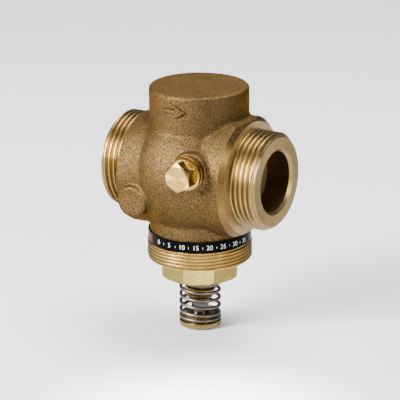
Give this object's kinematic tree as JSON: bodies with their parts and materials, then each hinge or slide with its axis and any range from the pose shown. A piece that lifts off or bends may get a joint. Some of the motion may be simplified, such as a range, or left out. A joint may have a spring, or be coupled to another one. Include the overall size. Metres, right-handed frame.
{
  "type": "control valve",
  "caption": "Two-port bronze control valve with male pipe threads, a spring-returned stem below and an actuator thread on the neck.",
  "frame": {"origin": "the point where the pipe axis meets the stem axis", "axes": "+X is the pipe axis towards the outlet port, -Y is the front with the test plug, +Z is away from the actuator, so the stem leaves the body along -Z"},
  "size_m": [0.075, 0.0662, 0.1073],
  "materials": {
    "cast_bronze": "sand-cast skin with machined ports",
    "bar_brass": "turned bar, bright",
    "copper_washer": "soft flat washer",
    "stainless": "ground stainless",
    "spring_steel": "dark drawn wire",
    "seal_rubber": "moulded, matt",
    "bush_plastic": "turned bearing plastic",
    "label_plastic": "satin black band"
  },
  "bodies": {
    "valve": {"body": "cast_bronze", "label_band": "label_plastic", "seat_ring": "bar_brass", "seat_seal": "seal_rubber", "bonnet": "bar_brass", "bonnet_o_ring": "seal_rubber", "gland_nut": "bar_brass", "lower_bush": "bush_plastic", "lower_stem_ring": "seal_rubber", "gland_spacer": "bar_brass", "upper_stem_ring": "seal_rubber", "upper_bush": "bush_plastic", "return_spring": "spring_steel", "test_plug": "bar_brass", "plug_washer": "copper_washer"},
    "stem_set": {"stem": "stainless", "valve_disc": "bar_brass", "disc_seal": "seal_rubber", "clamp_plate": "bar_brass", "disc_nut": "stainless", "spring_retainer": "bar_brass", "stem_clip": "stainless"}
  },
  "joints": [
    {"name": "stem_slide", "type": "slide", "parent": "valve", "child": "stem_set", "axis": [0, 0, 1], "range_m": [0, 0.005], "stiffness_N_per_m": 8000, "springref_m": -0.002, "deforming": ["return_spring"]}
  ]
}
